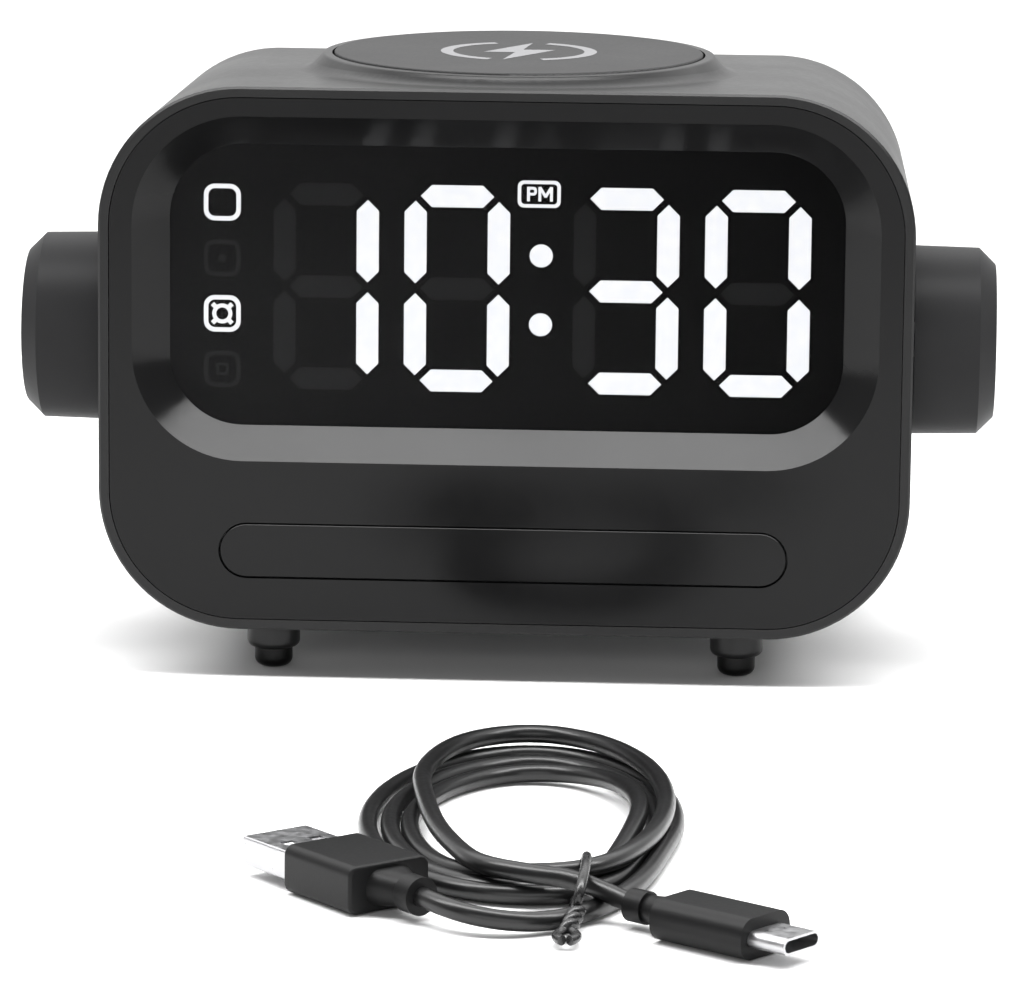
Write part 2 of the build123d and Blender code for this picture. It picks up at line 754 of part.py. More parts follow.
with BuildPart() as speaker:
    with BuildSketch(front_plane(BODY_D - COVER_T - 0.2)):
        with Locations((SPEAKER_X, SPEAKER_Z)):
            Circle(SPEAKER_R)
            Circle(SPEAKER_R - 2.4, mode=Mode.SUBTRACT)
    extrude(amount=1.6)
    with BuildSketch(front_plane(BODY_D - COVER_T - 1.4)):
        with Locations((SPEAKER_X, SPEAKER_Z)):
            Circle(SPEAKER_R - 1.0)
    extrude(amount=2.0)
    with BuildSketch(front_plane(BODY_D - COVER_T - 3.4)):
        with Locations((SPEAKER_X, SPEAKER_Z)):
            Circle(8.0)
    extrude(amount=4.0)
save(speaker.part, "speaker")

with BuildPart() as usb_c_socket:
    with BuildSketch(front_plane(BODY_D - COVER_T - 0.2)):
        with Locations((USB_X, USB_Z)):
            SlotOverall(8.94, 3.26)
            SlotOverall(8.34, 2.66, mode=Mode.SUBTRACT)
    extrude(amount=7.0)
    with BuildSketch(front_plane(BODY_D - COVER_T - 1.0)):
        with Locations((USB_X, USB_Z)):
            Rectangle(6.7, 0.7)
    extrude(amount=6.2)
    with BuildSketch(front_plane(BODY_D - COVER_T - 6.4)):
        with Locations((USB_X, USB_Z)):
            SlotOverall(8.94, 3.26)
    extrude(amount=0.9)
save(usb_c_socket.part, "usb_c_socket")

board_front = FRONT_Y + 12.2
board_rear = REAR_Y - COVER_T - 2.4
board_mid = (board_front + board_rear) / 2
board_len = board_rear - board_front
with BuildPart() as main_board:
    with BuildSketch(Plane.XY.offset(MAIN_BOARD_Z)):
        with Locations((0, board_mid)):
            RectangleRounded(88, board_len, 2)
        # tongue that carries the snooze switch
        with Locations((0, board_front - 2.2)):
            Rectangle(12, 5.0)
        with Locations((0, POST_Y)):
            with GridLocations(POST_PITCH_X, POST_PITCH_Y, 2, 2):
                Circle(1.2, mode=Mode.SUBTRACT)
    extrude(amount=BOARD_T)
save(main_board.part, "main_board")

with BuildPart() as board_screws:
    with BuildSketch(Plane.XY.offset(MAIN_BOARD_TOP)):
        with Locations((0, POST_Y)):
            with GridLocations(POST_PITCH_X, POST_PITCH_Y, 2, 2):
                Circle(2.1)
    extrude(amount=1.4)
    with BuildSketch(Plane.XY.offset(MAIN_BOARD_TOP)):
        with Locations((0, POST_Y)):
            with GridLocations(POST_PITCH_X, POST_PITCH_Y, 2, 2):
                Circle(0.95)
    extrude(amount=-6.5)
save(board_screws.part, "board_screws")

with BuildPart() as controller_chip:
    with BuildSketch(Plane.XY.offset(MAIN_BOARD_TOP)):
        with Locations((-14, board_mid - 8)):
            Rectangle(9, 9)
    extrude(amount=1.6)
save(controller_chip.part, "controller_chip")

with BuildPart() as capacitors:
    with BuildSketch(Plane.XY.offset(MAIN_BOARD_TOP)):
        with Locations((34, board_mid - 6), (34, board_mid + 6)):
            Circle(3.1)
    extrude(amount=7.5)
    fillet(capacitors.edges().group_by(Axis.Z)[-1], 0.6)
save(capacitors.part, "capacitors")

with BuildPart() as cell_holder:
    with BuildSketch(Plane.XY.offset(MAIN_BOARD_TOP)):
        with Locations((8, board_mid - 14)):
            Circle(11.6)
    extrude(amount=4.2)
    with BuildSketch(Plane.XY.offset(MAIN_BOARD_TOP + 4.2)):
        with Locations((8, board_mid - 14)):
            Circle(10.1)
    extrude(amount=-3.3, mode=Mode.SUBTRACT)
save(cell_holder.part, "cell_holder")

with BuildPart() as backup_cell:
    with BuildSketch(Plane.XY.offset(MAIN_BOARD_TOP + 0.9)):
        with Locations((8, board_mid - 14)):
            Circle(10.0)
    extrude(amount=3.2)
    fillet(backup_cell.edges().group_by(Axis.Z)[-1], 0.4)
save(backup_cell.part, "backup_cell")

# flat ribbon from the display board down to the main board
RIBBON_W = 16.0
RIBBON_T = 0.3
ribbon_y = FRONT_Y + BOARD_DEPTH + BOARD_T + 0.05
with BuildPart() as display_ribbon:
    with BuildSketch(Plane.YZ.offset(-38)):
        with BuildLine():
            ribbon_path = FilletPolyline(
                (ribbon_y + RIBBON_T / 2, 56.0),
                (ribbon_y + RIBBON_T / 2, 36.0),
                (ribbon_y + 10, MAIN_BOARD_TOP + 0.4 + RIBBON_T),
                (ribbon_y + 24, MAIN_BOARD_TOP + 0.4 + RIBBON_T),
                radius=6,
            )
            offset(ribbon_path, amount=RIBBON_T / 2)
        make_face()
    extrude(amount=RIBBON_W)
save(display_ribbon.part, "display_ribbon")

# ---- feet ---------------------------------------------------------------------------
for row_name, foot_depth in (("front", FRONT_FOOT_DEPTH), ("rear", REAR_FOOT_DEPTH)):
    foot_top = FOOT_H + BOTTOM_SLOPE * (foot_depth - FOOT_R)
    for side, side_name in ((-1, "left"), (1, "right")):
        foot_spot = (side * FOOT_X, FRONT_Y + foot_depth)

        with BuildPart() as foot_post:
            with BuildSketch(Plane.XY.offset(foot_top)):
                with Locations(foot_spot):
                    Circle(FOOT_R)
            extrude(amount=FOOT_TIP_H - foot_top)
            fillet(foot_post.edges().group_by(Axis.Z)[0], 1.25)
        save(foot_post.part, f"{row_name}_{side_name}_foot_post")

        with BuildPart() as foot_tip:
            with BuildSketch(Plane.XY):
                with Locations(foot_spot):
                    Circle(FOOT_TIP_R)
            extrude(amount=FOOT_TIP_H)
            fillet(foot_tip.edges().group_by(Axis.Z)[0], 1.5)
        save(foot_tip.part, f"{row_name}_{side_name}_foot_tip")

# ---- USB lead -----------------------------------------------------------------------
PLUG_A_EXIT = (-3.5, -202.0, 3.7)
PLUG_A_HEADING = 130.0
PLUG_C_EXIT = (27.4, -201.4, 3.1)
PLUG_C_HEADING = -38.0

# each run of the lead leaves a plug and ends inside the coil
LEAD_A_POINTS = [
    PLUG_A_EXIT,
    (-0.4, -205.7, 3.4),
    (4.6, -208.5, 2.7),
    (10.4, -208.7, 2.0),
    (15.8, -206.3, 1.6),
    (20.2, -201.7, 1.6),
    (23.8, -195.3, 1.6),
    (26.8, -187.4, 1.6),
    (29.0, -178.4, 1.6),
    (30.4, -168.6, 1.6),
]
LEAD_C_POINTS = [
    PLUG_C_EXIT,
    (20.2, -196.4, 5.3),
    (12.0, -192.2, 5.0),
    (4.0, -187.0, 4.9),
]


def heading_vector(degrees_from_x):
    """Level unit vector at an angle from +X."""
    return (cos(radians(degrees_from_x)), sin(radians(degrees_from_x)), 0)


def plug_plane(exit_point, heading, distance):
    """Plane across a plug, this far from where the cable leaves it."""
    along = heading_vector(heading)
    across = heading_vector(heading + 90)
    spot = [exit_point[i] + along[i] * distance for i in range(3)]
    return Plane(origin=spot, x_dir=across, z_dir=along)


def bend_radii(points):
    """Radius at each inner point: as large as its two runs allow."""
    radii = []
    for before, here, after in zip(points, points[1:], points[2:]):
        run_in = Vector(*here) - Vector(*before)
        run_out = Vector(*after) - Vector(*here)
        half_turn = radians(run_in.get_angle(run_out)) / 2
        radii.append(0.45 * min(run_in.length, run_out.length) / tan(half_turn))
    return radii


for lead_name, points in (("usb_lead_a", LEAD_A_POINTS), ("usb_lead_c", LEAD_C_POINTS)):
    radii = bend_radii(points)
    with BuildPart() as lead:
        with BuildLine() as lead_line:
            FilletPolyline(*points, radius=radii)
        start = lead_line.wire() @ 0
        start_plane = Plane(origin=start, z_dir=lead_line.wire() % 0)
        with BuildSketch(start_plane):
            Circle(CABLE_D / 2)
        sweep(path=lead_line.wire())
    section_length = 3.141593 * CABLE_D ** 2 / 4 * lead_line.wire().length
    print(lead_name, "bend radii", [round(r, 1) for r in radii])
    print(lead_name, "volume", round(lead.part.volume, 2), "section x length", round(section_length, 2))
    save(lead.part, lead_name)

with BuildPart() as usb_coil:
    with BuildSketch(Plane.XY):
        with Locations((COIL_X, COIL_Y)):
            Ellipse(COIL_RX, COIL_RY)
        with Locations((COIL_X + COIL_HOLE_X, COIL_Y + COIL_HOLE_Y)):
            Ellipse(COIL_RX - COIL_BAND, COIL_RY - COIL_BAND, mode=Mode.SUBTRACT)
    extrude(amount=COIL_H)
    fillet(usb_coil.edges().group_by(Axis.Z)[-1], 2.0)
save(usb_coil.part, "usb_coil")

RELIEF_A_L = 8.0
MOULD_A_L = 17.0
MOULD_A_W = 14.6
MOULD_A_H = 7.4
SHELL_A_L = 12.5
SHELL_A_W = 12.0
SHELL_A_H = 4.5
COLLAR_L = 3.2
WINDOW_A_W = 2.3
WINDOW_A_L = 2.6
WINDOW_A_START = 3.6

# round collar at the cable and a neck that widens towards the plug
RELIEF_C_L = 8.0
RELIEFS = (
    ("usb_a_relief", PLUG_A_EXIT, PLUG_A_HEADING, RELIEF_A_L, 2.9, (8.6, 5.6)),
    ("usb_c_relief", PLUG_C_EXIT, PLUG_C_HEADING, RELIEF_C_L, 2.5, (7.0, 4.6)),
)
for relief_name, exit_point, heading, relief_length, collar_r, neck in RELIEFS:
    with BuildPart() as relief:
        with BuildSketch(plug_plane(exit_point, heading, 0)):
            Circle(collar_r)
        extrude(amount=COLLAR_L)
        with BuildSketch(plug_plane(exit_point, heading, COLLAR_L)):
            Circle(collar_r - 0.5)
        with BuildSketch(plug_plane(exit_point, heading, relief_length)):
            RectangleRounded(neck[0], neck[1], neck[1] / 2 - 0.3)
        loft()
    save(relief.part, relief_name)

with BuildPart() as usb_a_mould:
    with BuildSketch(plug_plane(PLUG_A_EXIT, PLUG_A_HEADING, RELIEF_A_L)):
        RectangleRounded(MOULD_A_W, MOULD_A_H, 1.6)
    extrude(amount=MOULD_A_L)
    fillet(usb_a_mould.edges().filter_by(GeomType.LINE, reverse=True), 0.5)
save(usb_a_mould.part, "usb_a_mould")

shell_a_start = RELIEF_A_L + MOULD_A_L
with BuildPart() as usb_a_shell:
    with BuildSketch(plug_plane(PLUG_A_EXIT, PLUG_A_HEADING, shell_a_start)):
        RectangleRounded(SHELL_A_W, SHELL_A_H, 0.4)
    extrude(amount=SHELL_A_L)
    with BuildSketch(plug_plane(PLUG_A_EXIT, PLUG_A_HEADING, shell_a_start + 0.6)):
        Rectangle(SHELL_A_W - 0.7, SHELL_A_H - 0.7)
    extrude(amount=SHELL_A_L, mode=Mode.SUBTRACT)
    # two windows through the top and the bottom
    with BuildSketch(plug_plane(PLUG_A_EXIT, PLUG_A_HEADING, shell_a_start + WINDOW_A_START)):
        with GridLocations(WINDOW_A_W + 2.8, 1, 2, 1):
            Rectangle(WINDOW_A_W, SHELL_A_H + 2)
    extrude(amount=WINDOW_A_L, mode=Mode.SUBTRACT)
save(usb_a_shell.part, "usb_a_shell")

with BuildPart() as usb_a_tongue:
    with BuildSketch(plug_plane(PLUG_A_EXIT, PLUG_A_HEADING, shell_a_start + 0.6)):
        with Locations((0, -0.95)):
            Rectangle(11.2, 1.8)
    extrude(amount=SHELL_A_L - 1.4)
save(usb_a_tongue.part, "usb_a_tongue")

MOULD_C_L = 17.0
TIP_C_L = 6.6
with BuildPart() as usb_c_mould:
    with BuildSketch(plug_plane(PLUG_C_EXIT, PLUG_C_HEADING, RELIEF_C_L)):
        RectangleRounded(11.4, 6.2, 2.6)
    extrude(amount=MOULD_C_L)
save(usb_c_mould.part, "usb_c_mould")

with BuildPart() as usb_c_tip:
    with BuildSketch(plug_plane(PLUG_C_EXIT, PLUG_C_HEADING, RELIEF_C_L + MOULD_C_L)):
        SlotOverall(8.34, 2.56)
    extrude(amount=TIP_C_L)
    with BuildSketch(plug_plane(PLUG_C_EXIT, PLUG_C_HEADING, RELIEF_C_L + MOULD_C_L + 1.0)):
        SlotOverall(7.6, 1.8)
    extrude(amount=TIP_C_L, mode=Mode.SUBTRACT)
save(usb_c_tip.part, "usb_c_tip")

# twist tie: a ring round the bundle and a tail that ends in a small loop
TIE_X = 19.5
TIE_Y = -194.3
TIE_W = 21.0
TIE_H = 9.6
TIE_TAIL_L = 12.0
with BuildPart() as cable_tie:
    with BuildSketch(Plane.YZ.offset(TIE_X - 0.8)):
        with Locations((TIE_Y, 4.9)):
            RectangleRounded(TIE_W, TIE_H, 4.0)
            RectangleRounded(TIE_W - 2, TIE_H - 2, 3.0, mode=Mode.SUBTRACT)
    extrude(amount=1.6)
    with BuildSketch(Plane.XZ.offset(-(TIE_Y - TIE_W / 2 + 0.7))):
        with Locations((TIE_X, 1.4)):
            Circle(1.1)
    extrude(amount=TIE_TAIL_L)
save(cable_tie.part, "cable_tie")
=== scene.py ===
import json
from math import cos, pi, radians, sin

import bpy
from mathutils import Matrix, Vector


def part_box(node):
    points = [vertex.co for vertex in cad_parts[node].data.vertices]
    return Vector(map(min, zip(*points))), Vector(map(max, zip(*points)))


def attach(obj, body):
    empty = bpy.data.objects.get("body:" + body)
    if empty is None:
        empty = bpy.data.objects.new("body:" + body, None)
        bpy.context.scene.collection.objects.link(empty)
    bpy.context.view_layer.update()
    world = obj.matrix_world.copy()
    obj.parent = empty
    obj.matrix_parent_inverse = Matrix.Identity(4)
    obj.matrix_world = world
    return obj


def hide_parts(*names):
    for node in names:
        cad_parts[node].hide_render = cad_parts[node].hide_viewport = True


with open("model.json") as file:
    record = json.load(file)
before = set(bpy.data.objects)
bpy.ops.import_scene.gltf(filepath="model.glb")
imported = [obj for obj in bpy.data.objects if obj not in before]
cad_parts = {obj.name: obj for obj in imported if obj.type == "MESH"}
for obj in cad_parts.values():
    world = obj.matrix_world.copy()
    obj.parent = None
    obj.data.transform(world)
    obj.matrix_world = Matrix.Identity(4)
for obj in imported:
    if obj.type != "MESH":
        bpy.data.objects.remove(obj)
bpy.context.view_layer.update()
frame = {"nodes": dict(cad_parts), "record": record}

scene = bpy.context.scene
scene.view_settings.view_transform = "Standard"
scene.view_settings.look = "None"
CASE = "clock_case"


# ---- camera -----------------------------------------------------------------------

CAMERA_AT = Vector((0.0496, -1.043, 0.2276))
CAMERA_LENS = 208.2
CAMERA_DOWN = 0.192
CAMERA_YAW = -0.048
CAMERA_ROLL = 0.010


def make_camera():
    data = bpy.data.cameras.new("camera")
    data.lens = CAMERA_LENS
    data.sensor_width = 36
    data.clip_start = 0.05
    data.clip_end = 20
    camera = bpy.data.objects.new("camera", data)
    ahead = Vector((
        sin(CAMERA_YAW) * cos(CAMERA_DOWN),
        cos(CAMERA_YAW) * cos(CAMERA_DOWN),
        -sin(CAMERA_DOWN),
    ))
    level = Vector((cos(CAMERA_YAW), -sin(CAMERA_YAW), 0))
    above = level.cross(ahead)
    right = level * cos(CAMERA_ROLL) + above * sin(CAMERA_ROLL)
    up = above * cos(CAMERA_ROLL) - level * sin(CAMERA_ROLL)
    turn = Matrix((right, up, -ahead)).transposed().to_4x4()
    camera.matrix_world = Matrix.Translation(CAMERA_AT) @ turn
    scene.collection.objects.link(camera)
    scene.camera = camera


# ---- cord -------------------------------------------------------------------------

CABLE_D = 0.003
# the route's points at the two plugs, in millimetres
LEAD_A = [
    (-3.5, -202.0, 3.7),
    (-0.4, -205.7, 3.4),
    (4.6, -208.5, 2.7),
    (10.4, -208.7, 2.0),
    (15.8, -206.3, 1.6),
    (20.2, -201.7, 1.6),
    (23.8, -195.3, 1.6),
    (26.8, -187.4, 1.6),
    (29.0, -178.4, 1.6),
    (30.4, -168.6, 1.6),
]
LEAD_C = [
    (4.0, -187.0, 4.9),
    (12.0, -192.2, 5.0),
    (20.2, -196.4, 5.3),
    (27.4, -201.4, 3.1),
]
COIL_CENTRE = (8.3, -145.5)
COIL_SEMI = (24.6, 45.6)
FAR_SIDE = 1.7       # the turns part more at the far side
STEP_ANGLE = 30
SPLINE_ORDER = 3
# Each turn of the coil, every 30 degrees from the right: how far the cord lies inside
# the outermost turn, and how high. The turns are close at the right and at the tie and
# fan out on the left, and the last one climbs over the others and crosses them.
TURNS = [
    [(-0.4, 1.5), (-0.2, 1.5), (0.0, 1.5), (0.2, 1.5), (0.4, 1.5), (0.2, 1.5),
     (0.0, 1.5), (0.2, 1.5), (0.0, 1.5), (-1.6, 1.5), (-4.6, 1.5), (2.2, 1.5)],
    [(3.0, 1.5), (3.2, 1.5), (3.6, 1.5), (4.4, 1.5), (4.8, 1.5), (4.3, 1.5),
     (3.6, 1.5), (3.8, 1.5), (3.3, 1.5), (1.6, 1.5), (-1.2, 1.5), (4.9, 3.3)],
    [(5.3, 4.3), (6.4, 3.4), (7.4, 2.0), (8.4, 1.5), (8.6, 1.5), (8.0, 1.5),
     (6.9, 1.5), (7.1, 1.5), (6.5, 1.7), (4.4, 3.4), (-2.8, 4.5), (0.2, 4.5)],
    [(1.2, 4.6), (1.0, 4.7), (0.2, 4.7), (-0.6, 4.7), (0.6, 4.8), (5.0, 4.8),
     (9.6, 4.7), (10.6, 4.6), (8.6, 4.8)],
]


def coil_points():
    """The coil's control points between the two leads, in millimetres."""
    points = []
    angle = 0
    for turn in TURNS:
        for inward, height in turn:
            a = radians(angle)
            part = FAR_SIDE if 0 < angle % 360 < 180 else 1
            x = COIL_CENTRE[0] + (COIL_SEMI[0] - inward) * cos(a)
            y = COIL_CENTRE[1] + (COIL_SEMI[1] - inward * part) * sin(a)
            points.append((x, y, height))
            angle += STEP_ANGLE
    return points


def tube(name, points_mm, diameter):
    """Round wire along an open NURBS spline."""
    data = bpy.data.curves.new(name, "CURVE")
    data.dimensions = "3D"
    data.bevel_depth = diameter / 2
    data.bevel_resolution = 8
    data.resolution_u = 10
    data.use_fill_caps = True
    add_spline(data, points_mm)
    wire = bpy.data.objects.new(name, data)
    scene.collection.objects.link(wire)
    return wire


def add_spline(data, points_mm):
    """One more open spline in the same wire."""
    spline = data.splines.new("NURBS")
    spline.points.add(len(points_mm) - 1)
    for point, spot in zip(spline.points, points_mm):
        point.co = (spot[0] / 1000, spot[1] / 1000, spot[2] / 1000, 1)
    spline.order_u = SPLINE_ORDER
    spline.use_endpoint_u = True
    spline.use_smooth = True


def make_cord():
    cord = tube("usb_cord", LEAD_A + coil_points() + LEAD_C, CABLE_D)
    cord.data.materials.append(cable_material())
    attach(cord, CASE)
    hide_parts("usb_coil", "usb_lead_a", "usb_lead_c")
    return cord


# ---- twist tie --------------------------------------------------------------------

# the wrap round the bundle, in millimetres and degrees
TIE_X = 19.5
TIE_Y = -194.4
TIE_Z = 4.2
TIE_HALF_Y = 9.3
TIE_HALF_Z = 3.6
TIE_SLANT = 0.9
TIE_START_ANGLE = 200
TIE_STEPS = 16
TIE_WIRE_D = 0.0015
# the twisted tail, in millimetres
TAIL_START = -204.2
TAIL_STEPS = 18
TAIL_TWISTS = 1.5
TAIL_TWIST_L = 6.5
TAIL_DRIFT = 1.2
TAIL_TOP = 2.6
TAIL_DROP = 1.2
STRAND_R = 0.62
LOOP_Z = 1.2
# one half of the small loop at the tail's end: sideways, towards the viewer and up
LOOP_HALF = [(1.3, 1.2, 0.0), (1.55, 2.8, 0.0), (0.9, 4.6, 0.1), (0.55, 5.0, 0.1)]


def tail_strand(start_angle):
    """One strand of the tail, wound round the other, and its half of the loop."""
    strand = []
    for step in range(TAIL_STEPS + 1):
        share = step / TAIL_STEPS
        a = start_angle + share * TAIL_TWISTS * 2 * pi
        strand.append((
            TIE_X - share * TAIL_DRIFT + STRAND_R * cos(a),
            TAIL_START - share * TAIL_TWIST_L,
            TAIL_TOP - TAIL_DROP * share + STRAND_R * sin(a),
        ))
    sign = 1 if cos(a) > 0 else -1
    x, y = TIE_X - TAIL_DRIFT, TAIL_START - TAIL_TWIST_L
    return strand + [(x + sign * aside, y - ahead, LOOP_Z + rise)
                     for aside, ahead, rise in LOOP_HALF]


def bundle_ring():
    """One wrap of the tie round the bundle, a little slanted."""
    points = []
    for step in range(TIE_STEPS + 1):
        a = radians(TIE_START_ANGLE + step * 360 / TIE_STEPS)
        points.append((
            TIE_X + TIE_SLANT * sin(a),
            TIE_Y + TIE_HALF_Y * cos(a),
            TIE_Z + TIE_HALF_Z * sin(a),
        ))
    return points


def make_tie():
    ring = bundle_ring()
    tie = tube("twist_tie", ring, TIE_WIRE_D)
    for start_angle in (0, pi):
        add_spline(tie.data, [ring[0]] + tail_strand(start_angle))
    tie.data.materials.append(tie_material())
    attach(tie, CASE)
    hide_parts("cable_tie")
    return tie


# ---- materials --------------------------------------------------------------------

NOISE_LOW = 0.3     # nearly all of a noise lies between these two
NOISE_HIGH = 0.7
BLUE_TINT = 1.03    # the blacks of the clock are a touch blue
SLOW_SIZE = 0.03
MOTTLE = 0.25
ROUGH_SPREAD = 0.05
DUST_CELL = 0.006
DUST_SIZE = 0.045
DUST_GREY = 0.45
COPPER_PITCH = 0.0012
RIBBON_PITCH = 0.001
# Plastics and rubbers by slot: base grey, roughness, then the size and the height of the
# grain in metres. Some have their own specular level and a share of dusty cells.
MOULDED = {
    "housing_plastic": dict(
        value=0.006, rough=0.34, grain=0.0012, depth=0.000004, level=0.28, dust=0.05),
    "cover_plastic": dict(value=0.012, rough=0.45, grain=0.0005, depth=0.00002, level=0.4),
    "panel_gloss": dict(
        value=0.0055, rough=0.15, grain=0.0015, depth=0.0000005, level=0.16, dust=0.14),
    "display_black": dict(value=0.003, rough=0.6, grain=0.0005, depth=0.00002, level=0.2),
    "led_body": dict(value=0.6, rough=0.4, grain=0.0004, depth=0.00002),
    "chip_black": dict(value=0.02, rough=0.5, grain=0.0003, depth=0.00003),
    "knob_plastic": dict(value=0.020, rough=0.45, grain=0.0006, depth=0.00001, level=0.08),
    "pad_rubber": dict(value=0.013, rough=0.55, grain=0.0008, depth=0.00001, level=0.30),
    "ferrite": dict(value=0.06, rough=0.6, grain=0.0008, depth=0.00003),
    "switch_button": dict(value=0.6, rough=0.45, grain=0.0005, depth=0.00002),
    "plug_mould": dict(value=0.006, rough=0.42, grain=0.0006, depth=0.00001, level=0.18),
    "tongue_plastic": dict(value=0.8, rough=0.4, grain=0.0006, depth=0.00002),
    "foot_rubber": dict(value=0.002, rough=0.34, grain=0.0008, depth=0.000005, level=0.16),
}
METALS = {
    "capacitor_can": dict(color=(0.75, 0.75, 0.77), rough=0.35),
    "bright_steel": dict(color=(0.72, 0.72, 0.73), rough=0.28),
    "screw_steel": dict(color=(0.30, 0.30, 0.31), rough=0.38),
    "speaker_metal": dict(color=(0.5, 0.5, 0.52), rough=0.4),
    "plug_metal": dict(color=(0.50, 0.50, 0.51), rough=0.34, grain=0.002),
}


class Nodes:
    """Short names for building one material."""

    def __init__(self, name):
        self.material = bpy.data.materials.new(name)
        self.material.use_nodes = True
        self.tree = self.material.node_tree
        self.shader = self.tree.nodes["Principled BSDF"]
        self.place = self.add("ShaderNodeTexCoord").outputs["Object"]

    def add(self, kind, **settings):
        node = self.tree.nodes.new(kind)
        for key, value in settings.items():
            setattr(node, key, value)
        return node

    def link(self, output, target):
        self.tree.links.new(output, target)

    def set(self, **values):
        for key, value in values.items():
            self.shader.inputs[key.replace("_", " ")].default_value = value

    def noise(self, size, detail=2, rough=0.5):
        """Noise whose grains are this many metres across."""
        node = self.add("ShaderNodeTexNoise")
        node.inputs["Scale"].default_value = 1 / size
        node.inputs["Detail"].default_value = detail
        node.inputs["Roughness"].default_value = rough
        self.link(self.place, node.inputs["Vector"])
        return node.outputs["Fac"]

    def span(self, value, low, high, to_low, to_high):
        node = self.add("ShaderNodeMapRange")
        for key, number in (
            ("From Min", low), ("From Max", high), ("To Min", to_low), ("To Max", to_high),
        ):
            node.inputs[key].default_value = number
        self.link(value, node.inputs["Value"])
        return node.outputs["Result"]

    def vary(self, noise, low, high):
        """A noise brought to the range from low to high."""
        return self.span(noise, NOISE_LOW, NOISE_HIGH, low, high)

    def math(self, operation, a, b=0.0):
        node = self.add("ShaderNodeMath", operation=operation)
        for socket, value in zip(node.inputs, (a, b)):
            if isinstance(value, (int, float)):
                socket.default_value = value
            else:
                self.link(value, socket)
        return node.outputs["Value"]

    def mix(self, share, a, b):
        """Colour between a and b, each a colour or an output."""
        node = self.add("ShaderNodeMix", data_type="RGBA")
        self.link(share, node.inputs["Factor"])
        for socket, value in ((node.inputs[6], a), (node.inputs[7], b)):
            if isinstance(value, tuple):
                socket.default_value = (*value, 1)
            else:
                self.link(value, socket)
        return node.outputs[2]

    def bump(self, height, distance):
        node = self.add("ShaderNodeBump")
        node.inputs["Strength"].default_value = 1.0
        node.inputs["Distance"].default_value = distance
        self.link(height, node.inputs["Height"])
        self.link(node.outputs["Normal"], self.shader.inputs["Normal"])

    def color(self, output):
        self.link(output, self.shader.inputs["Base Color"])

    def roughness(self, output):
        self.link(output, self.shader.inputs["Roughness"])


def grey(value):
    return (value, value, value * BLUE_TINT)


def specks(n, share, base):
    """Sparse pale dust on a base colour: one dot in this share of the cells."""
    cells = n.add("ShaderNodeTexVoronoi")
    cells.inputs["Scale"].default_value = 1 / DUST_CELL
    n.link(n.place, cells.inputs["Vector"])
    near = n.math("LESS_THAN", cells.outputs["Distance"], DUST_SIZE)
    pick = n.add("ShaderNodeSeparateColor")
    n.link(cells.outputs["Color"], pick.inputs["Color"])
    chosen = n.math("LESS_THAN", pick.outputs["Red"], share)
    return n.mix(n.math("MULTIPLY", near, chosen), base, grey(DUST_GREY))


def moulded(name, value, rough, grain, depth, level=0.5, dust=0.0):
    """Moulded plastic: fine grain, slow mottling, roughness that wanders."""
    n = Nodes(name)
    slow = n.noise(SLOW_SIZE, 3)
    fine = n.noise(grain, 2, 0.6)
    tone = n.mix(slow, grey(value * (1 - MOTTLE)), grey(value * (1 + MOTTLE)))
    if dust:
        tone = specks(n, dust, tone)
    n.color(tone)
    both = n.math("ADD", n.math("MULTIPLY", slow, 0.7), n.math("MULTIPLY", fine, 0.3))
    n.roughness(n.vary(both, rough - ROUGH_SPREAD, rough + ROUGH_SPREAD))
    n.bump(fine, depth)
    n.set(Specular_IOR_Level=level)
    return n.material


def cable_material():
    """Smooth soft jacket with a faint orange-peel skin."""
    n = Nodes("cable_jacket_look")
    skin = n.noise(0.0011, 2)
    n.color(n.mix(n.noise(0.012, 3), grey(0.005), grey(0.009)))
    n.roughness(n.vary(skin, 0.28, 0.34))
    n.bump(skin, 0.000002)
    n.set(Specular_IOR_Level=0.45)
    return n.material


def tie_material():
    """Thin plastic skin of the tie, with a slight unevenness."""
    n = Nodes("tie_wire_look")
    skin = n.noise(0.0006, 2)
    n.color(n.mix(skin, grey(0.008), grey(0.016)))
    n.roughness(n.vary(skin, 0.22, 0.36))
    n.bump(skin, 0.00003)
    return n.material


def metal(name, color, rough, grain=0.0006):
    """Plated or rolled metal with a fine grain, the same in every direction."""
    n = Nodes(name)
    lines = n.noise(grain, 3, 0.6)
    n.color(n.mix(lines, tuple(c * 0.86 for c in color), color))
    n.roughness(n.vary(lines, rough - 0.07, rough + 0.09))
    n.bump(lines, 0.000001)
    n.set(Metallic=1.0)
    return n.material


def lit_material():
    """Light guide lit from behind, a little weaker in its diffusing grain."""
    n = Nodes("light_on_look")
    grain = n.noise(0.0016, 2)
    glow = n.mix(n.vary(grain, 0, 1), (0.93, 0.95, 1.0), (1.0, 1.0, 1.0))
    n.color(glow)
    n.link(glow, n.shader.inputs["Emission Color"])
    n.set(Emission_Strength=3.6, Roughness=0.4)
    return n.material


def unlit_material():
    """Light guide that is off: a dull dark grey."""
    n = Nodes("light_off_look")
    grain = n.noise(0.0012, 2)
    n.color(n.mix(grain, grey(0.06), grey(0.09)))
    n.roughness(n.vary(grain, 0.5, 0.6))
    n.bump(grain, 0.00002)
    return n.material


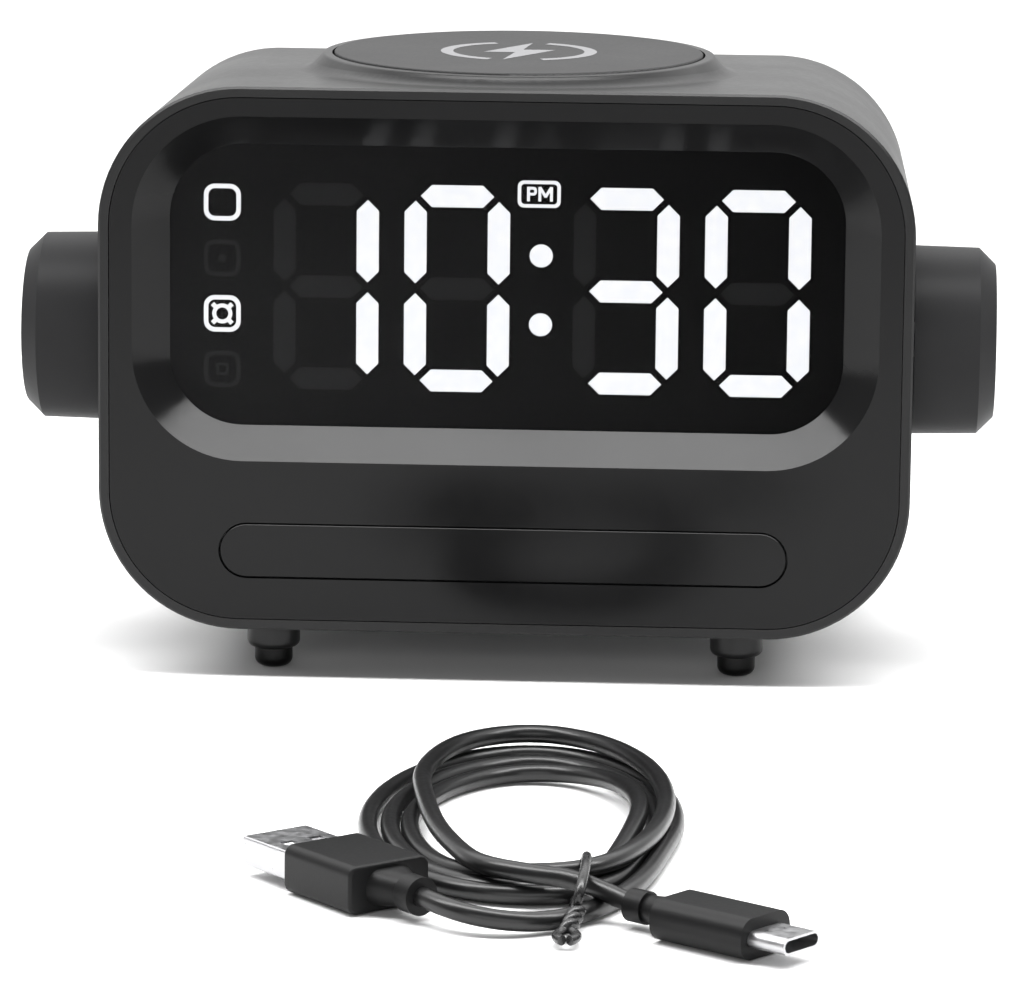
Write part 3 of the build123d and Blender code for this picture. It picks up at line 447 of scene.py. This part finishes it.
def lens_material():
    """Smoked acrylic whose base colour is painted a little lighter towards its left end:
    painted light, standing in for how the light falls across it.
    """
    n = Nodes("smoked_lens_look")
    low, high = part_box("display_lens")
    split = n.add("ShaderNodeSeparateXYZ")
    n.link(n.place, split.inputs["Vector"])
    haze = n.math("MULTIPLY", n.noise(0.03, 2), 0.1)
    # painted light: a colour ramp that grows lighter towards the lens's left end, with a
    # faint noise over it
    painted_light_to_left = n.math("SUBTRACT", n.span(split.outputs["X"], low.x, high.x, 1.0, 0.0), haze)
    n.color(n.mix(painted_light_to_left, grey(0.0005), grey(0.012)))
    n.roughness(n.span(haze, 0.03, 0.07, 0.03, 0.06))
    n.set(Alpha=0.5, Specular_IOR_Level=0.05)
    return n.material


def board_material():
    """Green solder mask over copper tracks."""
    n = Nodes("circuit_board_look")
    tracks = n.add("ShaderNodeTexBrick")
    tracks.inputs["Scale"].default_value = 160
    tracks.inputs["Mortar Size"].default_value = 0.03
    n.link(n.place, tracks.inputs["Vector"])
    n.color(n.mix(tracks.outputs["Fac"], (0.008, 0.10, 0.04), (0.03, 0.22, 0.09)))
    n.roughness(n.vary(n.noise(0.004), 0.28, 0.4))
    n.bump(tracks.outputs["Fac"], 0.00004)
    return n.material


def copper_material():
    """Spiral of fine copper wire, one ring for each turn."""
    n = Nodes("copper_wire_look")
    low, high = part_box("charging_coil")
    middle = (low + high) / 2
    shift = n.add("ShaderNodeVectorMath", operation="SUBTRACT")
    shift.inputs[1].default_value = middle
    n.link(n.place, shift.inputs[0])
    flat = n.add("ShaderNodeVectorMath", operation="MULTIPLY")
    flat.inputs[1].default_value = (1, 1, 0)
    n.link(shift.outputs["Vector"], flat.inputs[0])
    radius = n.add("ShaderNodeVectorMath", operation="LENGTH")
    n.link(flat.outputs["Vector"], radius.inputs[0])
    wires = n.math("SINE", n.math("MULTIPLY", radius.outputs["Value"], 2 * pi / COPPER_PITCH))
    n.color(n.mix(n.span(wires, -1, 1, 0, 1), (0.25, 0.09, 0.03), (0.78, 0.36, 0.17)))
    n.roughness(n.span(wires, -1, 1, 0.5, 0.3))
    n.bump(wires, 0.0002)
    n.set(Metallic=0.9)
    return n.material


def ribbon_material():
    """Flat cable: one faint line for each conductor."""
    n = Nodes("ribbon_white_look")
    split = n.add("ShaderNodeSeparateXYZ")
    n.link(n.place, split.inputs["Vector"])
    lines = n.math("SINE", n.math("MULTIPLY", split.outputs["X"], 2 * pi / RIBBON_PITCH))
    n.color(n.mix(n.span(lines, -1, 1, 0, 1), (0.62, 0.62, 0.60), (0.84, 0.84, 0.82)))
    n.bump(lines, 0.00008)
    n.set(Roughness=0.45)
    return n.material


def slot_looks():
    """The look of each slot of the record, except the cord's and the tie's."""
    looks = {slot: moulded(slot + "_look", **look) for slot, look in MOULDED.items()}
    looks.update({slot: metal(slot + "_look", **look) for slot, look in METALS.items()})
    looks.update({
        "smoked_lens": lens_material(),
        "light_on": lit_material(),
        "light_off": unlit_material(),
        "circuit_board": board_material(),
        "copper_wire": copper_material(),
        "ribbon_white": ribbon_material(),
    })
    return looks


def dress_nodes(looks):
    """Give each shown CAD node the look of its slot."""
    for part in frame["record"]["subparts"]:
        look = looks.get(part["material_slot"])
        if look is None:
            continue
        node = frame["nodes"][part["node"]]
        if not node.material_slots:
            node.data.materials.append(look)
        for holder in node.material_slots:
            holder.link = "OBJECT"
            holder.material = look


# ---- printed charging mark --------------------------------------------------------

MARK_R = 0.0138
MARK_LINE = 0.0022
MARK_LIFT = 0.00004
MARK_GAP_ANGLE = 21
MARK_STEPS = 40
# lightning bolt, in millimetres from the middle of the disc, and its four pieces
BOLT = [(1.9, 12.6), (-6.2, -1.6), (-0.6, -1.6), (-2.2, -12.6), (6.4, 2.4), (0.7, 2.4)]
BOLT_FACES = [(0, 1, 5), (1, 2, 5), (2, 4, 5), (2, 3, 4)]


def add_arc(verts, faces, middle, z, start_angle):
    """One of the ring's two arcs, as a flat band."""
    first = len(verts)
    sweep = 180 - 2 * MARK_GAP_ANGLE
    for step in range(MARK_STEPS + 1):
        a = radians(start_angle + sweep * step / MARK_STEPS)
        for radius in (MARK_R - MARK_LINE, MARK_R):
            verts.append((middle.x + radius * cos(a), middle.y + radius * sin(a), z))
    for step in range(MARK_STEPS):
        i = first + 2 * step
        faces.append((i, i + 1, i + 3, i + 2))


def add_bolt(verts, faces, middle, z):
    first = len(verts)
    verts.extend((middle.x + x / 1000, middle.y + y / 1000, z) for x, y in BOLT)
    faces.extend(tuple(first + corner for corner in face) for face in BOLT_FACES)


def ink_material():
    """Pale grey print, slightly uneven."""
    n = Nodes("mark_ink_look")
    grain = n.noise(0.0005, 3, 0.7)
    n.color(n.mix(grain, grey(0.13), grey(0.22)))
    n.roughness(n.vary(grain, 0.45, 0.6))
    return n.material


def make_mark():
    """Ring broken at the front and the back by a lightning bolt, printed on the disc."""
    low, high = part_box("charging_disc")
    middle = (low + high) / 2
    z = high.z + MARK_LIFT
    verts, faces = [], []
    for gap_angle in (90, 270):
        add_arc(verts, faces, middle, z, gap_angle + MARK_GAP_ANGLE)
    add_bolt(verts, faces, middle, z)
    mesh = bpy.data.meshes.new("charging_mark")
    mesh.from_pydata(verts, [], faces)
    mesh.update()
    mark = bpy.data.objects.new("charging_mark", mesh)
    scene.collection.objects.link(mark)
    mesh.materials.append(ink_material())
    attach(mark, CASE)


# ---- studio -----------------------------------------------------------------------

FLOOR_HALF = 6.0
FLOOR_Z = -0.0002
# strength of the world's light, from the viewer's side to the far side
WORLD_FRONT = 0.15
WORLD_BACK = 1.0
# each light's place, what it points at, its two sides in metres and its watts
LIGHTS = {
    "top_strip": ((0, -0.155, 0.62), (0, -0.155, 0), (1.5, 0.17), 12),
    "front_fill": ((0, -1.3, 0.36), (0, 0, 0), (1.6, 0.4), 4.5),
    "back_wash": ((0, 0.95, 1.0), (0, 0.95, 0), (2.6, 1.3), 16),
}


def area_light(name, spot, target, size, power):
    data = bpy.data.lights.new(name, "AREA")
    data.shape = "RECTANGLE"
    data.size, data.size_y = size
    data.energy = power
    light = bpy.data.objects.new(name, data)
    light.location = spot
    aim = Vector(target) - Vector(spot)
    light.rotation_mode = "QUATERNION"
    light.rotation_quaternion = aim.to_track_quat("-Z", "Y")
    scene.collection.objects.link(light)


def make_stage():
    mesh = bpy.data.meshes.new("floor")
    corners = [(-1, -1), (1, -1), (1, 1), (-1, 1)]
    verts = [(x * FLOOR_HALF, y * FLOOR_HALF, FLOOR_Z) for x, y in corners]
    mesh.from_pydata(verts, [], [(0, 1, 2, 3)])
    floor = bpy.data.objects.new("floor", mesh)
    scene.collection.objects.link(floor)
    n = Nodes("floor_look")
    n.color(n.mix(n.noise(0.4), (0.90, 0.90, 0.90), (0.92, 0.92, 0.92)))
    n.set(Roughness=0.8, Specular_IOR_Level=0.2)
    mesh.materials.append(n.material)


def make_light():
    """White sweep behind, dimmer towards the viewer, with a long strip overhead."""
    world = bpy.data.worlds.new("studio")
    world.use_nodes = True
    scene.world = world
    tree = world.node_tree
    background = tree.nodes["Background"]
    place = tree.nodes.new("ShaderNodeTexCoord")
    split = tree.nodes.new("ShaderNodeSeparateXYZ")
    fade = tree.nodes.new("ShaderNodeMapRange")
    fade.inputs["From Min"].default_value = -0.5
    fade.inputs["From Max"].default_value = 0.5
    fade.inputs["To Min"].default_value = WORLD_FRONT
    fade.inputs["To Max"].default_value = WORLD_BACK
    tree.links.new(place.outputs["Generated"], split.inputs["Vector"])
    tree.links.new(split.outputs["Y"], fade.inputs["Value"])
    tree.links.new(fade.outputs["Result"], background.inputs["Strength"])
    background.inputs["Color"].default_value = (1, 1, 1, 1)
    for name, settings in LIGHTS.items():
        area_light(name, *settings)


make_camera()
cord = make_cord()
tie = make_tie()
make_stage()
make_light()
dress_nodes(slot_looks())
make_mark()
